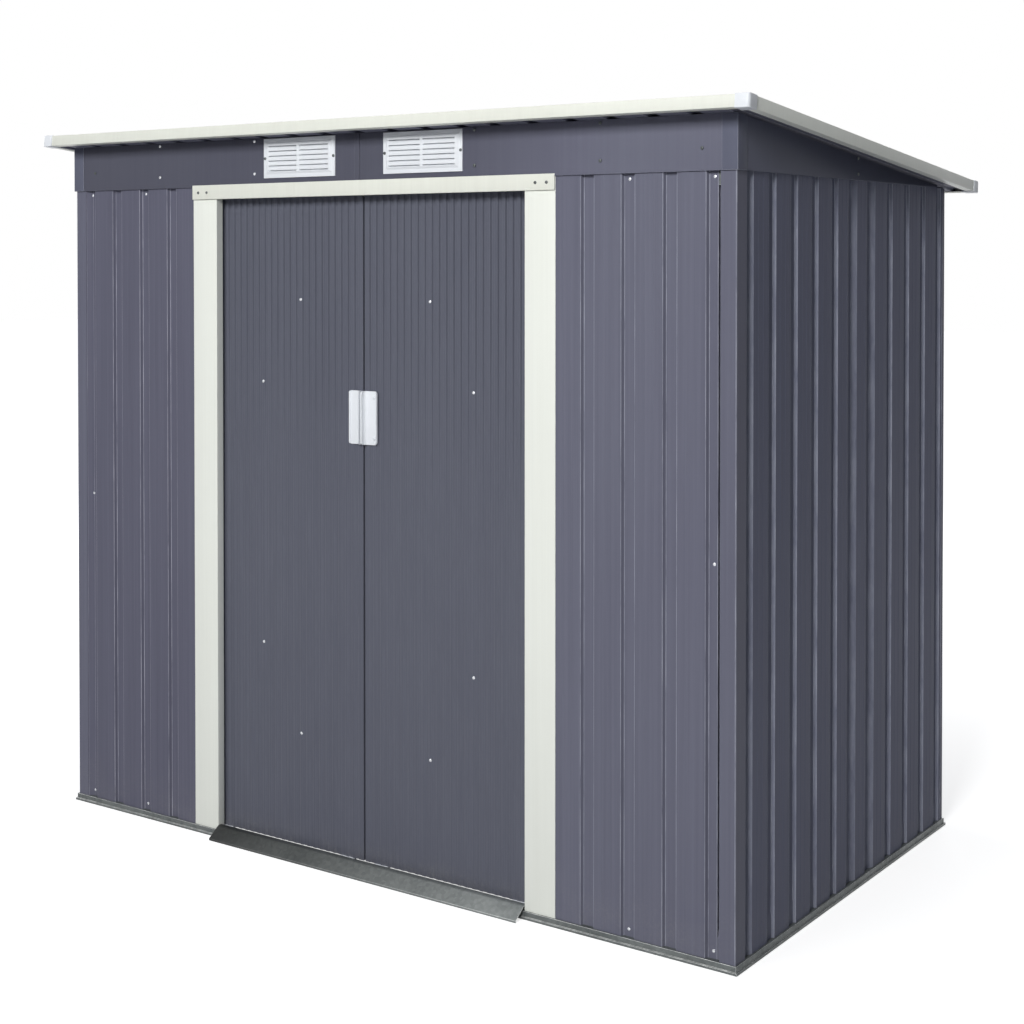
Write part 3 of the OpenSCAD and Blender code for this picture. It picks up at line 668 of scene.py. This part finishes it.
POST_SHEET = 1.2 * MM
POST_BEND = 2.4 * MM
BACK_LEG = 16.0 * MM


def post(name, node, sign_x, sign_y):
    """An angle around a corner of the walls; the back ones have a narrow leg on the side."""
    low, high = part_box("front_right_post")
    leg = high.y if sign_y < 0 else low.y + BACK_LEG
    line = bent([(low.x, low.y), (high.x, low.y), (high.x, leg)], POST_BEND, 6)
    middle = (FRONT + BACK) / 2

    def place(u, v, z):
        y = v if sign_y < 0 else 2 * middle - v
        return Vector((sign_x * u, y, z))

    bm = bmesh.new()
    add_sheet(bm, finely(line, 12 * MM), POST_SHEET, HEIGHTS, place)
    return finished(name, bm, SLATE, "building", (node,))


post("front_right_post_fold", "front_right_post", 1, -1)
post("front_left_post_fold", "front_left_post", -1, -1)
post("back_right_post_fold", "back_right_post", 1, 1)
post("back_left_post_fold", "back_left_post", -1, 1)


# Doors

RIB_PITCH, RIB_FACE, RIB_FLOOR, RIB_DEEP = 21 * MM, 13 * MM, 8 * MM, 5 * MM
RIB_BEND, EDGE_BEND = 2.2 * MM, 1.6 * MM
DOOR_EDGE = 18 * MM
TRACK_GAP = 5 * MM
TONGUE_INSET = 2 * MM
FOLD_ROOM = 4 * MM
# The ribs fade from full depth to LEAST_PRESS of it, down to the height FADE_LOW
FADE_LOW, FADE_SPAN, LEAST_PRESS = 0.7, 0.8, 0.32


def door(name, node, body):
    """A finely ribbed sheet, its ribs pressed deepest at the top.

    Its folded edges end under the upper track, and the sheet runs on into it as a tongue.
    """
    low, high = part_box(node)
    near, far = (low.x, high.x) if body == "right_door" else (-high.x, -low.x)
    sign = 1 if body == "right_door" else -1
    count = int((far - near - 2 * RIB_PITCH) / RIB_PITCH + 0.001) + 1
    ribs = []
    for i in range(count):
        ribs += groove(near + RIB_PITCH * (i + 1), RIB_DEEP, RIB_FLOOR, RIB_FACE)
    near_fold = [(near, DOOR_EDGE - SHEET), (near, 0), ribs[0]]
    far_fold = [ribs[-1], (far, 0), (far, DOOR_EDGE - SHEET)]
    line = bent(near_fold, EDGE_BEND, 5)[:-1]
    line += bent([(near, 0)] + ribs + [(far, 0)], RIB_BEND)[1:-1]
    line += bent(far_fold, EDGE_BEND, 5)[1:]
    tongue = bent([(near + TONGUE_INSET, 0)] + ribs + [(far - TONGUE_INSET, 0)], RIB_BEND)
    edge_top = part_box("upper_door_track")[0].z - TRACK_GAP

    def place(u, v, z):
        slack = ripple(u, z, 2.9 * sign, DOOR_SLACK)
        share = min(1.0, max(0.0, (z - FADE_LOW) / FADE_SPAN))
        press = LEAST_PRESS + (1 - LEAST_PRESS) * share * share * (3 - 2 * share)
        if near + FOLD_ROOM < u < far - FOLD_ROOM:
            v -= (1 - press) * min(max(v, 0.0), RIB_DEEP)
        return Vector((sign * u, low.y + v + slack, z))

    bm = bmesh.new()
    add_sheet(bm, line, SHEET, spaced(low.z, edge_top, 20), place)
    add_sheet(bm, tongue, SHEET, [edge_top, high.z], place)
    return finished(name, bm, DOOR_SLATE, body, (node,))


door("left_door_sheet", "left_door_panel", "left_door")
door("right_door_sheet", "right_door_panel", "right_door")


# Roof

FALL = math.radians(5.8)
ROOF_BACK = 0.650
ROOF_SEAT = 0.3 * MM
ROOF_LIFT = 3 * MM
SHEET_ROOM = 0.15 * MM
FRONT_ROOM, BACK_ROOM = 3.3 * MM, 6.4 * MM
ROOF_EDGE = Vector((0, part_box("roof_corner_caps")[0].y, 0))
ROOF_EDGE.z = WALL_TOP + ROOF_SEAT + (BACK - ROOF_EDGE.y) * math.tan(FALL) - ROOF_LIFT / math.cos(FALL)


def on_roof(x, down, up):
    """A point of the roof: across, down the slope from the front edge, and square to the slope."""
    y = ROOF_EDGE.y + down * math.cos(FALL) + up * math.sin(FALL)
    return Vector((x, y, ROOF_EDGE.z - down * math.sin(FALL) + up * math.cos(FALL)))


def roof():
    """Three sheets side by side with their ribs up."""
    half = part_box("roof_sheets")[1].x
    one = 2 * half / 3
    length = (ROOF_BACK - ROOF_EDGE.y) / math.cos(FALL)
    stations = spaced(FRONT_ROOM, length - BACK_ROOM, 20)
    bm = bmesh.new()
    for i in range(3):
        middle = -half + (i + 0.5) * one
        centres = [middle + k * PITCH for k in range(-3, 4)]
        left, right = middle - one / 2 + SHEET_ROOM, middle + one / 2 - SHEET_ROOM
        line = wall_line(left, right, centres, [LAPPED] * len(centres), PITCH)

        def place(u, v, s):
            return on_roof(u, s, ROOF_LIFT + v + ripple(u, s, 4.4, ROOF_SLACK))

        add_sheet(bm, line, SHEET, stations, place)
    return finished("roof_sheet_runs", bm, SLATE, "building", ("roof_sheets",))


roof()


# Remaining solids keep their shape, with rounded folds and their own finish

for node in ("left_vent", "right_vent"):
    softened(node + "_moulding", node, 0.8 * MM, WHITE)
softened("roof_corner_mouldings", "roof_corner_caps", 1.0 * MM, WHITE)
for node in ("left_door_handle", "right_door_handle"):
    softened(node + "_moulding", node, 0.9 * MM, WHITE)
for node in ("left_jamb", "right_jamb", "left_roof_trim", "right_roof_trim"):
    softened(node + "_fold", node, 0.6 * MM, LIT_CREAM)
for node in ("door_header", "front_roof_trim", "back_roof_trim"):
    softened(node + "_fold", node, 0.6 * MM, CREAM)
for node in ("front_left_fascia", "front_right_fascia"):
    softened(node + "_fold", node, 0.5 * MM, FASCIA)
# Gables and corner covers take the darker slate copy, a painted shade
for node in ("left_gable", "right_gable", "fascia_corners"):
    softened(node + "_fold", node, 0.9 * MM, SHADED)
softened("threshold_ramp_fold", "threshold_ramp", 0.5 * MM, DULL_ZINC)
for node in ("front_floor_rail", "back_floor_rail", "left_floor_rail", "right_floor_rail"):
    softened(node + "_fold", node, 1.1 * MM, ZINC)
for node in ("lower_door_track", "upper_door_track", "roof_beams", "left_door_channels", "right_door_channels",
             "left_door_braces", "right_door_braces"):
    softened(node + "_fold", node, 0.7 * MM, ZINC)
for node in ("left_door_runners", "right_door_runners"):
    softened(node + "_moulding", node, 0.8 * MM, WHITE)


# Screws

HEAD, DOME, RIM, RECESS = 3.8 * MM, 2.1 * MM, -0.4 * MM, 1.2 * MM
TOP_ROW, MIDDLE_ROW, FOOT_ROW = 1.648, 0.843, 0.034
GABLE_SCREW = 0.012
AHEAD, BEHIND = (0, -1, 0), (0, 1, 0)


def add_screw(bm, at, out):
    """A domed head with a cross recess; out is the way it faces."""
    out = Vector(out)
    across = Vector((0, 0, 1)).cross(out).normalized()
    up = out.cross(across)
    n = 10
    grid = []
    for i in range(-n, n + 1):
        row = []
        for j in range(-n, n + 1):
            a, b = i / n, j / n
            ring = max(abs(a), abs(b))
            scale = ring / math.hypot(a, b) if ring else 0
            a, b = a * scale, b * scale
            high = DOME * math.sqrt(max(0.0, 1 - 0.8 * ring * ring)) if ring < 0.99 else RIM
            if min(abs(a), abs(b)) < 0.13 and ring < 0.56:
                high -= RECESS
            row.append(bm.verts.new(Vector(at) + (across * a + up * b) * HEAD + out * high))
        grid.append(row)
    for r, t in zip(grid, grid[1:]):
        for k in range(2 * n):
            bm.faces.new((r[k], t[k], t[k + 1], r[k + 1]))


def screws(name, body, places, paint=STEEL):
    """One piece with a screw at each place."""
    bm = bmesh.new()
    for at, out in places:
        add_screw(bm, at, out)
    return finished(name, bm, paint, body)


def wall_screws():
    """Screws in the grooves of the front and back walls."""
    places = []
    second, last = FRONT_FIRST + PITCH, FRONT_FIRST + 3 * PITCH
    for sign in (-1, 1):
        for x, z in ((second, TOP_ROW), (last, TOP_ROW), (last, MIDDLE_ROW),
                     (second, FOOT_ROW), (last, FOOT_ROW)):
            places.append(((sign * x, FRONT + LAPPED, z), AHEAD))
        for i in (2, 5, 9):
            for z in (TOP_ROW, FOOT_ROW):
                places.append(((sign * i * PITCH, BACK - SHALLOW, z), BEHIND))
    return screws("wall_screws", "building", places)


def fascia_screws():
    """Screws of the fascia, the header, the gables and the vents; four of the left fascia are brighter."""
    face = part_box("front_left_fascia")[0].y
    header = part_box("door_header")[0].y
    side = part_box("right_gable")[1].x
    places, bright = [], []
    for sign in (-1, 1):
        for x in (0.340, 0.676):
            for z in (1.770, 1.689):
                (places if sign > 0 else bright).append(((sign * x, face, z), AHEAD))
        places.append(((sign * 0.925, face, 1.707), AHEAD))
        for x in (0.507, 0.537):
            places.append(((sign * x, header, 1.646), AHEAD))
        for z in (1.675, 1.712):
            places.append(((sign * side, GABLE_SCREW, z), (sign, 0, 0)))
    for node in ("left_vent", "right_vent"):
        low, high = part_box(node)
        for x in (low.x + 4.5 * MM, high.x - 4.5 * MM):
            places.append(((x, low.y + 4 * MM, (low.z + high.z) / 2), AHEAD))
    screws("left_fascia_screws", "building", bright)
    screws("fascia_screws", "building", places, ZINC)


def door_screws(name, node, body):
    """The four screws that hold a door's crossed braces."""
    low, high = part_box(node)
    sign = 1 if body == "right_door" else -1
    seam = low.x if sign > 0 else high.x
    places = []
    for ribs, z in ((9.5, 1.377), (9.5, 0.301), (15.5, 1.170), (15.5, 0.513)):
        places.append(((seam + sign * ribs * RIB_PITCH, low.y, z), AHEAD))
    return screws(name, body, places)


def handle_screws():
    """Two screws in the outer edge of the right handle."""
    low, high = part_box("right_door_handle")
    places = [((high.x - 9 * MM, high.y - 3.6 * MM, z), AHEAD) for z in (high.z - 15 * MM, low.z + 15 * MM)]
    return screws("right_handle_screws", "right_door", places, WHITE)


wall_screws()
fascia_screws()
door_screws("left_door_screws", "left_door_panel", "left_door")
door_screws("right_door_screws", "right_door_panel", "right_door")
handle_screws()


# Stage, light and camera

def seen_rays(tree):
    """One for rays that see the stage, straight or mirrored, and nothing for its diffuse light."""
    path = made(tree, "LightPath")
    return sums(tree, "MAXIMUM", path.outputs["Is Camera Ray"],
                sums(tree, "MAXIMUM", path.outputs["Is Glossy Ray"], path.outputs["Is Transmission Ray"]))


def stage():
    """A floor that fades to white around the shed, and a white studio that lights it only faintly."""
    bm = bmesh.new()
    bmesh.ops.create_grid(bm, x_segments=8, y_segments=8, size=30)
    mesh = bpy.data.meshes.new("floor")
    bm.to_mesh(mesh)
    bm.free()
    floor = bpy.data.objects.new("floor", mesh)
    floor.location.z = -0.5 * MM
    bpy.context.scene.collection.objects.link(floor)
    material, tree, shader = surface("pale_floor")
    shader.inputs["Base Color"].default_value = (0.62, 0.62, 0.62, 1)
    shader.inputs["Roughness"].default_value = 0.9
    shader.inputs["Specular IOR Level"].default_value = 0.1
    place = made(tree, "TexCoord")
    away = made(tree, "VectorMath", {0: place.outputs["Object"]}, operation="LENGTH").outputs["Value"]
    glow = ranged(tree, away, 1.2, 3.2, 0.71, 1.0)
    tree.links.new(sums(tree, "MULTIPLY", seen_rays(tree), glow), shader.inputs["Emission Strength"])
    shader.inputs["Emission Color"].default_value = (1, 1, 1, 1)
    mesh.materials.append(material)

    world = bpy.data.worlds.new("studio")
    bpy.context.scene.world = world
    world.use_nodes = True
    tree = world.node_tree
    tree.nodes.clear()
    soft = made(tree, "Background", {"Color": (0.66, 0.80, 1.0, 1), "Strength": 0.06})
    white = made(tree, "Background", {"Color": (1, 1, 1, 1), "Strength": 1.0})
    both = made(tree, "MixShader", {0: seen_rays(tree), 1: soft.outputs[0], 2: white.outputs[0]})
    out = made(tree, "OutputWorld")
    tree.links.new(both.outputs[0], out.inputs["Surface"])


def lamp(name, at, towards, size, watts):
    """A white rectangular softbox."""
    data = bpy.data.lights.new(name, "AREA")
    data.shape = "RECTANGLE"
    data.size, data.size_y = size
    data.energy = watts
    one = bpy.data.objects.new(name, data)
    one.location = at
    one.rotation_euler = (Vector(towards) - Vector(at)).to_track_quat("-Z", "Y").to_euler()
    bpy.context.scene.collection.objects.link(one)


stage()
lamp("right_softbox", (2.3, -7.3, 4.9), (0.1, -0.5, 0.75), (1.6, 2.4), 410)
lamp("left_softbox", (-1.1, -7.3, 4.9), (0.2, -0.5, 0.75), (2.2, 2.2), 96)
lamp("back_softbox", (-0.3, 5.2, 2.8), (0.0, 0.5, 0.85), (3.0, 2.4), 70)
lamp("left_side_softbox", (-6.0, 1.4, 2.8), (-1.0, 0.2, 0.85), (2.6, 2.4), 75)
lamp("top_softbox", (-0.4, -1.4, 5.0), (0.0, 0.0, 0.9), (4.0, 4.0), 20)

# The camera as fitted to the photo's edges, its lengths in the photo's pixels
PHOTO, FOCAL, LOWERED = 1024, 1720.0, 223.1
SENSOR = 36.0
camera = bpy.data.cameras.new("camera")
camera.sensor_width = SENSOR
camera.lens = SENSOR * FOCAL / PHOTO
camera.shift_y = -LOWERED / PHOTO
viewer = bpy.data.objects.new("camera", camera)
viewer.location = (2.6532, -3.7321, 1.478)
viewer.rotation_euler = (math.radians(90 - 1.01), 0, math.radians(35.102))
bpy.context.scene.collection.objects.link(viewer)
bpy.context.scene.camera = viewer
bpy.context.scene.view_settings.view_transform = "Standard"
